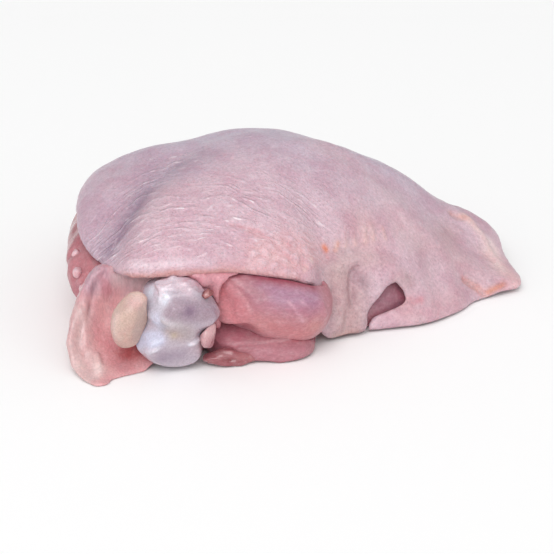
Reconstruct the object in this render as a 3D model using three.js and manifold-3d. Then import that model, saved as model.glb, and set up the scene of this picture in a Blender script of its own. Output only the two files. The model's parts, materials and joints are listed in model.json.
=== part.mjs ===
// A raw chicken thigh, bone in and skin on, resting skin side up. The knee end faces -Y, the hip end +Y,
// the kneecap side is at -X and the loose tail of skin at +X. Millimetres, +Z up; Z = 0 is the board under it.
//
// The skin is one thin sheet that falls from the crown of the thigh to its cut edge. The meat fills the room
// under it, and the thigh bone runs through the meat from the knuckle at the knee to the ball at the hip.
// Round the knuckle lie the muscles that the knife left: each is its own solid, GAP clear of the next.

import * as THREE from "three";
import { mergeVertices } from "three/addons/utils/BufferGeometryUtils.js";
import Module from "manifold-3d";

const wasm = await Module();
wasm.setup();

// ---------------------------------------------------------------- driving dimensions

const GAP = 0.4; // between pieces that touch
const SKIN_THICK = 1.9; // the skin and the fat that clings to it
const CROWN = new THREE.Vector3(-8, 3, 39.4); // the highest point of the skin
const MEAT_SUNK = 0.2; // how much deeper the meat's coarser face lies, so that it clears the skin's finer one
// The bone's knee end: its middle, half its height, the radius between its heads and its lean to +X in degrees
const KNUCKLE = { middle: [-27.2, -37.8, 10.8], half: 10.6, neck: 6.2, lean: 18 };
// Its two heads: height above that middle, how far they stand out from the neck, and their half width
const HEADS = [{ at: 5.4, out: 3.2, wide: 3.4 }, { at: -6.0, out: 2.4, wide: 3.5 }];
// The bone's shaft and the ball at the hip, where it ends
const SHAFT = { radius: 4.3, flare: 0.5, end: [-12, 38, 12], ball: 5.6 };

// The cut edge of the skin, anticlockwise from the tip of the tail: x, y, z, how steeply the skin
// comes down to it in degrees, and over how many mm that slope holds.
const SKIN_EDGE = [
  [56.2, 2.5, 2.4, 10, 22],
  [54.0, 14, 3.4, 18, 18],
  [50.5, 25, 4.6, 40, 10],
  [43, 36, 5.0, 55, 10],
  [30, 44, 7.5, 66, 12],
  [12, 48.5, 9.0, 74, 14],
  [-8, 49.5, 9.5, 78, 15],
  [-26, 46, 10.0, 80, 15],
  [-41, 38, 12.0, 80, 14],
  [-50, 26, 17.5, 82, 13],
  [-53.0, 12, 21.5, 84, 11],
  [-52.2, -6, 22.8, 80, 8.5],
  [-49.6, -21.5, 22.2, 70, 7],
  [-44.8, -32.6, 22.6, 62, 7],
  [-38, -37.8, 21.8, 66, 9],
  [-27, -39.2, 22.2, 66, 9],
  [-15, -37.2, 22.4, 62, 9],
  [-5, -35.2, 20.4, 62, 10],
  [1.8, -33.2, 18.2, 62, 11],
  [6.3, -29.4, 12.6, 74, 15],
  [7.2, -27.6, 1.4, 86, 26],
  [12, -25.3, 0.9, 86, 26],
  [17, -22.6, 0.9, 84, 25],
  [25, -20.2, 0.8, 74, 20],
  [34, -16.8, 0.8, 62, 15],
  [43, -7.6, 1.0, 44, 14],
  [50.5, -1.6, 1.8, 24, 16],
];
const SKIN_RINGS = 16;
const MEAT_RINGS = 9;

// Creases of the skin in plan, each with its depth at the start of its path, its half width and its fade
const CREASES = [
  { path: [[-45, -36], [-41, -22], [-34, -7], [-25, 7], [-17, 18]], deep: 4.2, wide: 5.6, fade: 1 },
  { path: [[45.5, -6], [42, 1], [39, 6]], deep: 1.6, wide: 3.6, fade: 1 },
  { path: [[37.5, 34], [36.5, 22], [38, 10]], deep: 1.6, wide: 4.5, fade: 1 },
];
// Swellings: middle in plan, half width, height
const SWELLINGS = [
  { at: [46.5, 22.5], wide: 6.6, high: 3.2 },
];

// ---------------------------------------------------------------- small tools

const vec = (x, y, z) => new THREE.Vector3(x, y, z);
const hill = (distance, width) => Math.exp(-((distance / width) ** 2));
const compassOf = (v) => THREE.MathUtils.radToDeg(Math.atan2(v.y, v.x));
const pathOf = (points, closed = false) =>
  new THREE.CatmullRomCurve3(points.map((p) => vec(...p)), closed, "catmullrom", 0.5);

// A value that changes smoothly round the compass, from [degrees, value] stops; 0 is +X, 90 is +Y.
function compass(stops) {
  const turn = [...stops, [stops[0][0] + 360, stops[0][1]]];
  return (deg) => {
    const at = ((deg - turn[0][0]) % 360 + 360) % 360 + turn[0][0];
    const i = turn.findIndex(([next]) => next > at) - 1;
    const [[a, va], [b, vb]] = [turn[i], turn[i + 1]];
    return va + (vb - va) * THREE.MathUtils.smoothstep(at, a, b);
  };
}

// Distance in plan from a point to a path of [x, y] corners, and how far along the path that is, 0 to 1.
function alongPath(point, path) {
  let best = { distance: Infinity, share: 0 };
  path.slice(1).forEach(([bx, by], i) => {
    const [ax, ay] = path[i];
    const [dx, dy] = [bx - ax, by - ay];
    const part = THREE.MathUtils.clamp(
      ((point.x - ax) * dx + (point.y - ay) * dy) / (dx * dx + dy * dy), 0, 1);
    const distance = Math.hypot(point.x - ax - part * dx, point.y - ay - part * dy);
    if (distance < best.distance) best = { distance, share: (i + part) / (path.length - 1) };
  });
  return best;
}

function geometryOf(points, faces) {
  const geometry = new THREE.BufferGeometry();
  geometry.setAttribute("position", new THREE.Float32BufferAttribute(points.flatMap((p) => p.toArray()), 3));
  geometry.setIndex(faces.flat());
  return geometry;
}

function normalsOf(geometry) {
  geometry.computeVertexNormals();
  const n = geometry.getAttribute("normal");
  return Array.from({ length: n.count }, (_, i) => vec().fromBufferAttribute(n, i));
}

// Two faces for each cell between two closed rows of point numbers.
const strip = (low, high) => low.flatMap((a, i) => {
  const j = (i + 1) % low.length;
  return [[a, low[j], high[j]], [a, high[j], high[i]]];
});

// A disc of near-square cells, made of square rings of 8, 16, 24 ... points so that it has no pole.
// pointAt(turn, share): turn runs 0 to 1 round the disc from +X to +Y, share 0 to 1 from middle to rim.
function disc(rings, pointAt) {
  const side = 2 * rings + 1;
  const turnOf = (col, row, ring) => {
    if (ring === 0) return 0;
    if (col === ring && row < ring) return (row / (8 * ring) + 1) % 1;
    if (row === ring && col > -ring) return 0.25 - col / (8 * ring);
    if (col === -ring && row > -ring) return 0.5 - row / (8 * ring);
    return 0.75 + col / (8 * ring);
  };
  const points = [];
  const faces = [];
  for (let row = -rings; row <= rings; row++)
    for (let col = -rings; col <= rings; col++) {
      const ring = Math.max(Math.abs(row), Math.abs(col));
      points.push(pointAt(turnOf(col, row, ring), ring / rings));
      const a = (row + rings) * side + col + rings;
      if (row === rings || col === rings) continue;
      if ((row >= 0) === (col >= 0)) faces.push([a, a + 1, a + side + 1], [a, a + side + 1, a + side]);
      else faces.push([a, a + 1, a + side], [a + 1, a + side + 1, a + side]);
    }
  const run = Array.from({ length: side - 1 }, (_, i) => i);
  const rim = [
    ...run,
    ...run.map((i) => side - 1 + i * side),
    ...run.map((i) => side * side - 1 - i),
    ...run.map((i) => side * (side - 1) - i * side),
  ];
  return { points, faces, rim };
}

// A closed body from rows of points, each a closed loop, with its two ends closed by fans.
function loft(rows) {
  const many = rows[0].length;
  const points = rows.flat();
  const loop = (r) => Array.from({ length: many }, (_, i) => r * many + i);
  const middleOf = (row) => row.reduce((sum, p) => sum.add(p), vec(0, 0, 0)).divideScalar(many);
  points.push(middleOf(rows[0]), middleOf(rows[rows.length - 1]));
  const [first, last] = [points.length - 2, points.length - 1];
  const faces = rows.slice(1).flatMap((_, r) => strip(loop(r), loop(r + 1)));
  loop(0).forEach((a, i, all) => faces.push([first, all[(i + 1) % many], a]));
  loop(rows.length - 1).forEach((a, i, all) => faces.push([last, a, all[(i + 1) % many]]));
  return geometryOf(points, faces);
}

// A unit ball whose points are moved by shape(point).
function ball(across, down, shape) {
  const sphere = new THREE.SphereGeometry(1, across, down);
  sphere.deleteAttribute("normal");
  sphere.deleteAttribute("uv");
  const geometry = mergeVertices(sphere, 1e-4);
  const p = geometry.getAttribute("position");
  for (let i = 0; i < p.count; i++) {
    const moved = shape(vec().fromBufferAttribute(p, i));
    p.setXYZ(i, moved.x, moved.y, moved.z);
  }
  return geometry;
}

// A rounded body by its middle, its half sizes and its turns about X, Y and Z in degrees. relief(direction)
// is added to its radius, in mm. blunt is 2 for an ellipsoid, and more for flatter sides and blunter ends.
function pod(middle, half, turns = [0, 0, 0], relief = () => 0, across = 20, down = 14, blunt = 2) {
  const spin = new THREE.Euler(...turns.map(THREE.MathUtils.degToRad));
  const full = (v) => Math.sign(v) * Math.abs(v) ** (2 / blunt);
  return ball(across, down, (d) => {
    const out = d.clone();
    const more = relief(d);
    return d.set(full(d.x) * half[0], full(d.y) * half[1], full(d.z) * half[2]).addScaledVector(out, more)
      .applyEuler(spin).add(vec(...middle));
  });
}

// A cupped leaf of meat between two long edges, rim and root. It is hollow by hollow(along) mm on its near
// side and thick(along) mm through its middle, both measured in the direction back. A small edge value makes
// its two edges blunt. grow widens it all round.
function leaf({ rim, root, hollow, thick, back, edge = 0.6, rows = 14, across = 8 }, grow = 0) {
  const [rimPath, rootPath, away] = [pathOf(rim), pathOf(root), vec(...back).normalize()];
  return loft(Array.from({ length: rows + 1 }, (_, r) => {
    const along = r / rows;
    const past = 1.5 * grow * (r === 0 ? -1 : r === rows ? 1 : 0);
    const [a, b] = [rimPath, rootPath].map((path) =>
      path.getPoint(along).addScaledVector(path.getTangent(along), past));
    const wider = a.clone().sub(b).setLength(2 * grow);
    a.add(wider);
    b.sub(wider);
    const near = (v) => a.clone().lerp(b, v).addScaledVector(away, hollow(along) * 4 * v * (1 - v) - grow);
    const far = (v) => near(v).addScaledVector(away, thick(along) * Math.sin(Math.PI * v) ** edge + 2 * grow);
    const front = Array.from({ length: across + 1 }, (_, i) => near(i / across));
    const rear = Array.from({ length: across - 1 }, (_, i) => far(1 - (i + 1) / across));
    return [...front, ...rear];
  }));
}

// A closed geometry as a solid, turned right side out and grown by some mm along its normals.
function solid(geometry, grow = 0) {
  const bare = geometry.clone();
  ["normal", "uv"].forEach((name) => bare.deleteAttribute(name));
  const merged = mergeVertices(bare, 1e-4);
  const faces = [];
  for (let i = 0; i < merged.index.count; i += 3) {
    const [a, b, c] = merged.index.array.slice(i, i + 3);
    if (a !== b && b !== c && c !== a) faces.push([a, b, c]);
  }
  const p = merged.getAttribute("position");
  const at = Array.from({ length: p.count }, (_, i) => vec().fromBufferAttribute(p, i));
  const volume = faces.reduce((sum, [a, b, c]) => sum + at[a].dot(at[b].clone().cross(at[c])), 0);
  if (volume < 0) faces.forEach((f) => f.reverse());
  normalsOf(geometryOf(at, faces)).forEach((n, i) => at[i].addScaledVector(n, grow));
  return new wasm.Manifold(new wasm.Mesh({
    numProp: 3,
    vertProperties: new Float32Array(at.flatMap((v) => v.toArray())),
    triVerts: new Uint32Array(faces.flat()),
  }));
}

// The largest closed body of a solid, as a geometry; crumbs that a cut leaves behind are dropped.
function geometryFrom(made) {
  const mesh = made.getMesh();
  const bare = new THREE.BufferGeometry();
  const at = new Float32Array(mesh.numVert * 3);
  for (let i = 0; i < mesh.numVert; i++)
    for (let k = 0; k < 3; k++) at[3 * i + k] = mesh.vertProperties[i * mesh.numProp + k];
  bare.setAttribute("position", new THREE.BufferAttribute(at, 3));
  bare.setIndex([...mesh.triVerts]);
  const merged = mergeVertices(bare, 1e-3);
  const index = merged.index.array;
  const group = Array.from({ length: merged.getAttribute("position").count }, (_, i) => i);
  const find = (i) => { while (group[i] !== i) i = group[i] = group[group[i]]; return i; };
  for (let i = 0; i < index.length; i += 3) {
    group[find(index[i])] = find(index[i + 1]);
    group[find(index[i + 1])] = find(index[i + 2]);
  }
  const bodies = new Map();
  for (let i = 0; i < index.length; i += 3) {
    const [a, b, c] = index.slice(i, i + 3);
    if (a === b || b === c || c === a) continue;
    bodies.set(find(a), [...(bodies.get(find(a)) ?? []), a, b, c]);
  }
  merged.setIndex([...bodies.values()].sort((a, b) => b.length - a.length)[0]);
  return merged;
}

const aboveBoard = (made) => made.intersect(solid(new THREE.BoxGeometry(200, 200, 100).translate(0, 0, 50)));

// ---------------------------------------------------------------- the skin

const edgeLine = pathOf(SKIN_EDGE.map(([x, y, z]) => [x, y, z]), true);
const edgeFall = pathOf(SKIN_EDGE.map((e) => [e[3], e[4], 0]), true);
edgeLine.arcLengthDivisions = 800;

// Share of the way out to the edge over which the crown stays level, by direction
const crownReach = compass([
  [0, 0.43], [20, 0.43], [50, 0.29], [85, 0.43], [115, 0.45],
  [145, 0.26], [180, 0.26], [230, 0.48], [280, 0.5], [320, 0.46]]);

function skinRelief(p) {
  const dents = CREASES.map(({ path, deep, wide, fade }) => {
    const near = alongPath(p, path);
    return -deep * (1 - fade * near.share) * hill(near.distance, wide);
  });
  const humps = SWELLINGS.map(({ at, wide, high }) => high * hill(Math.hypot(p.x - at[0], p.y - at[1]), wide));
  return [...dents, ...humps].reduce((a, b) => a + b);
}

// A point of the skin's outer face: a curve that leaves the crown level and comes down to the edge.
function skinPoint(turn, share) {
  const t = edgeLine.getUtoTmapping(turn);
  const edge = edgeLine.getPoint(t);
  const { x: fall, y: hold } = edgeFall.getPoint(t);
  const out = edge.clone().sub(CROWN).setZ(0);
  const level = CROWN.clone().addScaledVector(out, crownReach(compassOf(out)));
  const slope = THREE.MathUtils.degToRad(fall);
  const above = edge.clone().addScaledVector(out.normalize(), -hold * Math.cos(slope));
  above.z += hold * Math.sin(slope);
  return new THREE.CubicBezierCurve3(CROWN, level, above, edge).getPoint(share);
}

// The outer face of the skin, sunk by some mm along its normals; reach(turn) is how far out it goes.
function skinFace(rings, sunk, reach = () => 1) {
  const face = disc(rings, (turn, share) => skinPoint(turn, share * reach(turn)));
  normalsOf(geometryOf(face.points, face.faces)).forEach((n, i) =>
    face.points[i].addScaledVector(n, skinRelief(face.points[i])));
  normalsOf(geometryOf(face.points, face.faces)).forEach((n, i) => face.points[i].addScaledVector(n, -sunk));
  return face;
}

function skinSheet() {
  const outer = skinFace(SKIN_RINGS, 0);
  const inner = skinFace(SKIN_RINGS, SKIN_THICK);
  const count = outer.points.length;
  const middle = outer.rim.map((i) => outer.points[i].clone().lerp(inner.points[i], 0.5));
  const points = [...outer.points, ...inner.points, ...middle];
  const innerRim = inner.rim.map((i) => i + count);
  const middleRim = middle.map((_, i) => i + 2 * count);
  const faces = [
    ...outer.faces,
    ...inner.faces.map(([a, b, c]) => [a + count, c + count, b + count]),
    ...strip(middleRim, outer.rim),
    ...strip(innerRim, middleRim),
  ];
  return geometryOf(points, faces);
}

// The gap in the skin between the curtain of fat and the tail, seen from the front: x, z
const GAP_IN_SKIN = [
  [17.2, -2], [16.7, 5.4], [18.6, 7.0], [20.6, 8.6], [22.8, 11.4],
  [24.8, 9.2], [26.4, 6.2], [23.6, 3.2], [21.2, -2]];
const gapCutter = new THREE.ExtrudeGeometry(
  new THREE.Shape(GAP_IN_SKIN.map(([x, z]) => new THREE.Vector2(x, z))), { depth: 26, bevelEnabled: false })
  .rotateX(Math.PI / 2).translate(0, -6, 0);

const skin = aboveBoard(solid(skinSheet()).subtract(solid(gapCutter)));

// ---------------------------------------------------------------- the bone

// The knuckle: two rounded heads, one over the other, with a groove round between them. Four soft ridges run
// down it, the first of them at its front left.
function knuckle(grow = 0) {
  const lean = THREE.MathUtils.degToRad(KNUCKLE.lean);
  return solid(ball(24, 16, (d) => {
    const z = d.z * KNUCKLE.half;
    const ridged = 1 + 0.05 * Math.cos(4 * (Math.atan2(d.y, d.x) + 2.0));
    const wide = ridged * HEADS.reduce(
      (sum, head) => sum + head.out * hill(z - head.at, head.wide), KNUCKLE.neck);
    const round = Math.sqrt(Math.max(0, 1 - Math.abs(d.z) ** 4));
    const flat = Math.hypot(d.x, d.y) || 1;
    return vec(d.x / flat * wide * round, d.y / flat * wide * round, z)
      .applyAxisAngle(vec(0, 1, 0), lean).add(vec(...KNUCKLE.middle));
  }), grow);
}

function bone(grow = 0) {
  const [from, to] = [vec(...KNUCKLE.middle), vec(...SHAFT.end)];
  const radius = SHAFT.radius + grow;
  const shaft = new THREE.CylinderGeometry(radius, radius + SHAFT.flare, from.distanceTo(to), 20);
  const along = to.clone().sub(from).normalize();
  shaft.applyQuaternion(new THREE.Quaternion().setFromUnitVectors(vec(0, 1, 0), along))
    .translate(...from.clone().lerp(to, 0.5).toArray());
  const hipBall = pod(SHAFT.end, Array(3).fill(SHAFT.ball + grow), [0, 0, 0], () => 0, 14, 10);
  return knuckle(grow).add(solid(shaft)).add(solid(hipBall));
}

// ---------------------------------------------------------------- what lies round the knuckle

// The firm pad of fat beside the knuckle, under the kneecap
const pad = pod([-36.6, -43.2, 13.3], [4.3, 3.9, 6.9], [0, 16, 0],
  (d) => 0.3 * d.z + 0.8 * Math.max(0, d.x) * (1 - Math.abs(d.z + 0.2)), 16, 11);

// The cupped muscle on the kneecap side, from under the skin down to a tongue on the board
const kneeCup = {
  rim: [[-41.8, -31.8, 21.4], [-44.4, -33, 18.4], [-46.2, -33.9, 14.7], [-47.6, -36.2, 10.4], [-48.2, -39, 6.8],
    [-47.4, -41.2, 3.8], [-45.6, -44.4, 1.6], [-43, -47.8, 0.3]],
  root: [[-29, -33.5, 23.5], [-29, -34.5, 18], [-29.5, -36, 12], [-30, -38, 7],
    [-31.5, -40, 2], [-33.8, -41.8, 0]],
  hollow: (s) => 1 + 3 * Math.sin(Math.PI * s), back: [-0.15, 1, -0.1], rows: 13, across: 6,
};
const kneeMuscle = { ...kneeCup, thick: (s) => 9 - 6 * s };
const kneeHollow = { ...kneeCup, thick: () => -16 };

// The pale membrane that wraps that muscle's outer edge
const membrane = {
  rim: [[-43.8, -32.6, 22], [-45.5, -33.4, 20], [-47.1, -34.1, 16.7], [-48.6, -35.2, 13.4], [-50, -37, 11],
    [-50.9, -40, 7.8], [-51, -42, 4.6], [-50, -43.8, 1.9], [-47.6, -46.4, 0.6], [-44.2, -49.2, 0.1]],
  root: [[-44, -29.5, 21], [-46.8, -28.5, 17], [-49, -29.5, 11], [-48.4, -32, 5],
    [-45.5, -37, 1.5], [-42.5, -45, 0]],
  hollow: () => -0.6, thick: (s) => 1.4 + 2.2 * Math.min(1, 2.5 * s) - 0.8 * s, back: [1, 0.25, 0],
  edge: 0.25, rows: 14, across: 5,
};

// The two muscles on the tail side of the knuckle: the upper one bluntly cut, the lower one lying on the board
const upperMuscle = pod([-5.2, -29.2, 12.4], [13.6, 9.2, 8.0], [6, 16, 0], () => 0, 20, 12, 2.6);
const lowerMuscle = pod([-8.0, -29.4, 2.2], [12.6, 8.2, 6.4], [0, 5, -3], () => 0, 18, 11, 2.8);

// A dark torn sliver at the foot of the knuckle, the stub of a ligament and the end of a tendon
const tornStrip = pod([-15.2, -37.8, 1.5], [6, 2.2, 1.6], [0, 4, 8], () => 0, 12, 8);
const ligament = pod([-19.8, -40.8, 8.2], [1.7, 1.9, 2.9], [0, -10, 0], () => 0, 10, 8);
const tendon = pod([-18.8, -41, 17.6], [1.5, 1.7, 2.1], [0, 18, 0], () => 0, 10, 8);

// ---------------------------------------------------------------- the meat

// Share of the way out to the skin's edge that the meat reaches, how far its foot is tucked in under it
// and how far its wall swells out between the two, by direction
const meatReach = compass([
  [-25, 0.86], [0, 0.74], [25, 0.8], [50, 0.93], [90, 0.97],
  [180, 0.99], [230, 0.99], [270, 0.975], [296, 0.96], [312, 0.98]]);
const meatTuck = compass([
  [-40, 0.6], [-10, 4], [20, 5], [60, 5], [90, 4], [135, 5], [180, 7],
  [205, 3], [220, -2.5], [236, -3], [246, 4], [262, 9], [285, 9], [305, 4]]);
const meatSwell = compass([
  [0, 0.6], [60, 1], [135, 1.6], [165, 4.4], [188, 5.4],
  [210, 5.6], [224, 3.8], [236, 1.5], [250, 0.5], [320, 0.2]]);
const TUCK_FROM = 30; // mm from the crown at which the foot's tuck is full

function meatBody() {
  const fromCrown = (p) => vec(p.x - CROWN.x, p.y - CROWN.y, 0);
  const out = (p) => fromCrown(p).normalize();
  const bearing = (p) => compassOf(fromCrown(p));
  const reach = (turn) => meatReach(bearing(skinPoint(turn, 1)));
  const top = skinFace(MEAT_RINGS, SKIN_THICK + GAP + MEAT_SUNK, reach);
  const count = top.points.length;
  const feet = top.points.map((p) => p.clone().setZ(0).addScaledVector(
    out(p), -meatTuck(bearing(p)) * Math.min(1, fromCrown(p).length() / TUCK_FROM)));
  // The wall swells most just under the skin, and goes in to the foot lower down
  const walls = [0.2, 0.4, 0.6, 0.8].map((s) => top.rim.map((i) => {
    const a = top.points[i];
    const point = a.clone().lerp(feet[i], s ** 1.4);
    point.z = a.z * (1 - s);
    return point.addScaledVector(out(a), meatSwell(bearing(a)) * Math.sin(Math.PI * s ** 0.45));
  }));
  const points = [...top.points, ...feet, ...walls.flat()];
  const wallRows = walls.map((wall, k) => wall.map((_, i) => 2 * count + k * wall.length + i));
  const rows = [top.rim, ...wallRows, top.rim.map((i) => i + count)];
  const faces = [
    ...top.faces,
    ...top.faces.map(([a, b, c]) => [a + count, c + count, b + count]),
    ...rows.slice(1).flatMap((row, k) => strip(row, rows[k])),
  ];
  return geometryOf(points, faces);
}

// Beads of fat on the dark strip of meat along the kneecap side: x, y, z, size
const EDGE_FAT = [[-50.9, -17.8, 18.5, 1.5], [-49.8, -25, 17, 1.6], [-48.4, -28.5, 14.2, 1.5]];
const bead = ([x, y, z, r]) => pod([x, y, z], [r * 0.8, r * 1.2, r], [0, 0, 0], () => 0, 8, 6);

// ---------------------------------------------------------------- the thigh

const thigh = new THREE.Group();
function add(name, made, keepClearOf, colour, roughness) {
  const piece = keepClearOf.reduce((rest, other) => rest.subtract(other), aboveBoard(made));
  const geometry = geometryFrom(piece);
  geometry.computeVertexNormals();
  const material = new THREE.MeshStandardMaterial({ color: colour, roughness, metalness: 0 });
  const mesh = new THREE.Mesh(geometry, material);
  mesh.name = name;
  thigh.add(mesh);
}

const grownBone = bone(GAP);
const grownSkin = solid(skinSheet(), GAP);
add("femur", bone(), [], 0xb9bed0, 0.28);
add("skin", skin, [grownBone], 0xd6b0bb, 0.34);

// Each of these leaves the ones before it free, and the meat fills what is left under the skin
const taken = [grownBone];
const pieces = [
  ["kneecap_pad", pad, 0xd8bfae, 0.4],
  ["knee_muscle", kneeMuscle, 0xd99396, 0.34],
  ["membrane", membrane, 0xe2bfbc, 0.32],
  ["tendon_end", tendon, 0xc98f7c, 0.4],
  ["ligament_stub", ligament, 0xe0b3b4, 0.4],
  ["upper_muscle", upperMuscle, 0xcf8c92, 0.33],
  ["lower_muscle", lowerMuscle, 0xc98289, 0.36],
  ["torn_strip", tornStrip, 0x8a3a3f, 0.36],
  ...EDGE_FAT.map((place, i) => [`edge_fat_${i + 1}`, bead(place), 0xe3bfc3, 0.38]),
];
pieces.forEach(([name, shape, colour, roughness]) => {
  add(name, solid(shape.rim ? leaf(shape) : shape), [...taken, grownSkin], colour, roughness);
  taken.push(shape.rim ? solid(leaf(shape, GAP)) : solid(shape, GAP));
});
add("thigh_meat", solid(meatBody()), [...taken, solid(leaf(kneeHollow))], 0xa85a66, 0.4);

// The origin is the middle of the footprint
const footprint = new THREE.Box3().setFromObject(thigh);
thigh.position.set(-(footprint.min.x + footprint.max.x) / 2, -(footprint.min.y + footprint.max.y) / 2, 0);

export default thigh;
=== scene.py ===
import json
import math
import bpy
import numpy as np
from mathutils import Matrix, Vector, noise

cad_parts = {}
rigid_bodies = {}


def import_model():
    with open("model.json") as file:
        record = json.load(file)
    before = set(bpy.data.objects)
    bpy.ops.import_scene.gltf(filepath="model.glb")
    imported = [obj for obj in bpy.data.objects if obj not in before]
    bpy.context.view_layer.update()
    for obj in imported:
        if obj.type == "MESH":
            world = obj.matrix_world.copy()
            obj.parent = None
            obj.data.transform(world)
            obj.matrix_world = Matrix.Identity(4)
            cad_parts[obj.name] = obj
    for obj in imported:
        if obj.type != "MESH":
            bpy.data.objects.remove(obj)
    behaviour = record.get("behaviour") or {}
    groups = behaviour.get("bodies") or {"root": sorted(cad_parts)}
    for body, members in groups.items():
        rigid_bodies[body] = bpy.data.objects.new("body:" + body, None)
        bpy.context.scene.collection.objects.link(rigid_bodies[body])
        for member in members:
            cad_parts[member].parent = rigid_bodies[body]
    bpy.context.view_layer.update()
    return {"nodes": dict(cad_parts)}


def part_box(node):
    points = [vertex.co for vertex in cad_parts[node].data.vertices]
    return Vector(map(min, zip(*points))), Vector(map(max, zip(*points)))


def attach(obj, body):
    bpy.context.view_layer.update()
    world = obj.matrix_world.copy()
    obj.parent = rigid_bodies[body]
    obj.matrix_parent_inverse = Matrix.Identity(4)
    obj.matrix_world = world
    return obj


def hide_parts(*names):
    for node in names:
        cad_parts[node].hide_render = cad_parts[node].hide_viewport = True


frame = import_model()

# ---- Thigh meat -----------------------------------------------------------------------------
# The dark meat of the thigh: long raw muscles, wet and deep pink-red, that run from hip to knee.
# Everything else lies on it or grows out of it. It shows along the left side, in the gap of the
# skin, behind the knuckle and at the back, where the skin stops short of the board.


def clear_crumbs(piece):
    """Deletes the loose crumbs of a remeshed piece: all that doesn't hang together with its top."""
    bpy.ops.object.mode_set(mode="EDIT")
    bpy.ops.mesh.select_mode(type="VERT")
    bpy.ops.mesh.select_all(action="DESELECT")
    bpy.ops.object.mode_set(mode="OBJECT")
    max(piece.data.vertices, key=lambda vertex: vertex.co.z).select = True
    bpy.ops.object.mode_set(mode="EDIT")
    bpy.ops.mesh.select_linked()
    bpy.ops.mesh.select_all(action="INVERT")
    bpy.ops.mesh.delete(type="VERT")
    bpy.ops.object.mode_set(mode="OBJECT")


def from_solids(nodes, name, step, rounds, grow=0.0):
    """One piece on the solids of some nodes: each is merged, rounded off and grown by `grow` mm, then
    all are remeshed together every `step` mm, smoothed, and cleared of loose crumbs."""
    lobes = []
    for node in nodes:
        mesh = frame["nodes"][node].data.copy()
        mesh.name = name
        mesh.materials.clear()
        lobe = bpy.data.objects.new(name, mesh)
        bpy.context.scene.collection.objects.link(lobe)
        bpy.ops.object.select_all(action="DESELECT")
        bpy.context.view_layer.objects.active = lobe
        lobe.select_set(True)
        bpy.ops.object.mode_set(mode="EDIT")
        bpy.ops.mesh.select_all(action="SELECT")
        bpy.ops.mesh.remove_doubles(threshold=0.000002)
        bpy.ops.mesh.tris_convert_to_quads()
        bpy.ops.object.mode_set(mode="OBJECT")
        rounded = lobe.modifiers.new("rounded", "SUBSURF")
        rounded.levels = rounded.render_levels = 2
        bpy.ops.object.modifier_apply(modifier="rounded")
        if grow:
            fuller = lobe.modifiers.new("fuller", "DISPLACE")
            fuller.strength, fuller.mid_level = grow / 1000, 0
            bpy.ops.object.modifier_apply(modifier="fuller")
        lobes.append(lobe)
    for lobe in lobes:
        lobe.select_set(True)
    if len(lobes) > 1:
        bpy.ops.object.join()
    piece = bpy.context.view_layer.objects.active
    piece.name = piece.data.name = name
    fine = piece.modifiers.new("fine", "REMESH")
    fine.mode = "VOXEL"
    fine.voxel_size = step / 1000
    soft = piece.modifiers.new("soft", "SMOOTH")
    soft.factor = 0.5
    soft.iterations = rounds
    for modifier in ("fine", "soft"):
        bpy.ops.object.modifier_apply(modifier=modifier)
    clear_crumbs(piece)
    bpy.ops.object.shade_smooth()
    return piece


def surface(piece):
    """The places of a piece's vertices in mm, and the directions they face."""
    count = len(piece.data.vertices)
    at, out = np.empty(count * 3), np.empty(count * 3)
    piece.data.vertices.foreach_get("co", at)
    piece.data.vertices.foreach_get("normal", out)
    return at.reshape(-1, 3) * 1000, out.reshape(-1, 3)


def settle(piece, at):
    """Puts the vertices at these places in mm; nothing goes below the board."""
    at[:, 2] = np.maximum(at[:, 2], 0.0)
    piece.data.vertices.foreach_set("co", (at / 1000).ravel())
    piece.data.update()


def push(piece, height):
    """Moves the surface outwards by `height` mm at each vertex."""
    at, out = surface(piece)
    settle(piece, at + height[:, None] * out)


def near(at, path, width):
    """1 along a path of places in mm, falling softly to 0 with the distance from it."""
    path = np.array(path, float).reshape(-1, 3)
    far = np.linalg.norm(at - path[0], axis=1)
    for a, b in zip(path[:-1], path[1:]):
        along = np.clip((at - a) @ (b - a) / ((b - a) @ (b - a)), 0, 1)
        far = np.minimum(far, np.linalg.norm(at - a - along[:, None] * (b - a), axis=1))
    return np.exp(-((far / width) ** 2))


def folds(at, marks):
    """Ridges, and grooves where the height is below 0: each (path, width, height) is a soft one, in mm."""
    return sum(height * near(at, path, width) for path, width, height in marks)


def grab(piece, pulls):
    """Pulls the surface softly near each (path, width) by a vector in mm."""
    at, _ = surface(piece)
    moves = [near(at, path, width)[:, None] * np.array(pull, float) for path, width, pull in pulls]
    settle(piece, at + sum(moves))


def uneven(at, size, turn=0.0):
    """Soft unevenness between -1 and 1 with swellings of about `size` mm."""
    return np.array([noise.noise(Vector(p) / size + Vector((turn, 0, 0))) for p in at])


def tone(colour):
    """A colour as the eye names it, 0 to 255, in the linear values that a material takes."""
    return np.array([((c / 255 + 0.055) / 1.055) ** 2.4 for c in colour])


def keep(piece, name, values):
    """Stores three values for each vertex as a named colour layer of the piece."""
    layer = piece.data.color_attributes.new(name, "FLOAT_COLOR", "POINT")
    whole = np.ones((len(values), 4))
    whole[:, :3] = values
    layer.data.foreach_set("color", whole.ravel())


def paint(piece, ground, strokes):
    """Paints a piece: the ground colour, then each (colour, path, width, strength) over what is there."""
    at, _ = surface(piece)
    tint = np.repeat(tone(ground)[None, :], len(at), 0)
    for colour, path, width, strength in strokes:
        mask = np.clip(near(at, path, width) * strength, 0, 1)[:, None]
        tint = tint * (1 - mask) + tone(colour) * mask
    keep(piece, "tint", tint)


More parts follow.
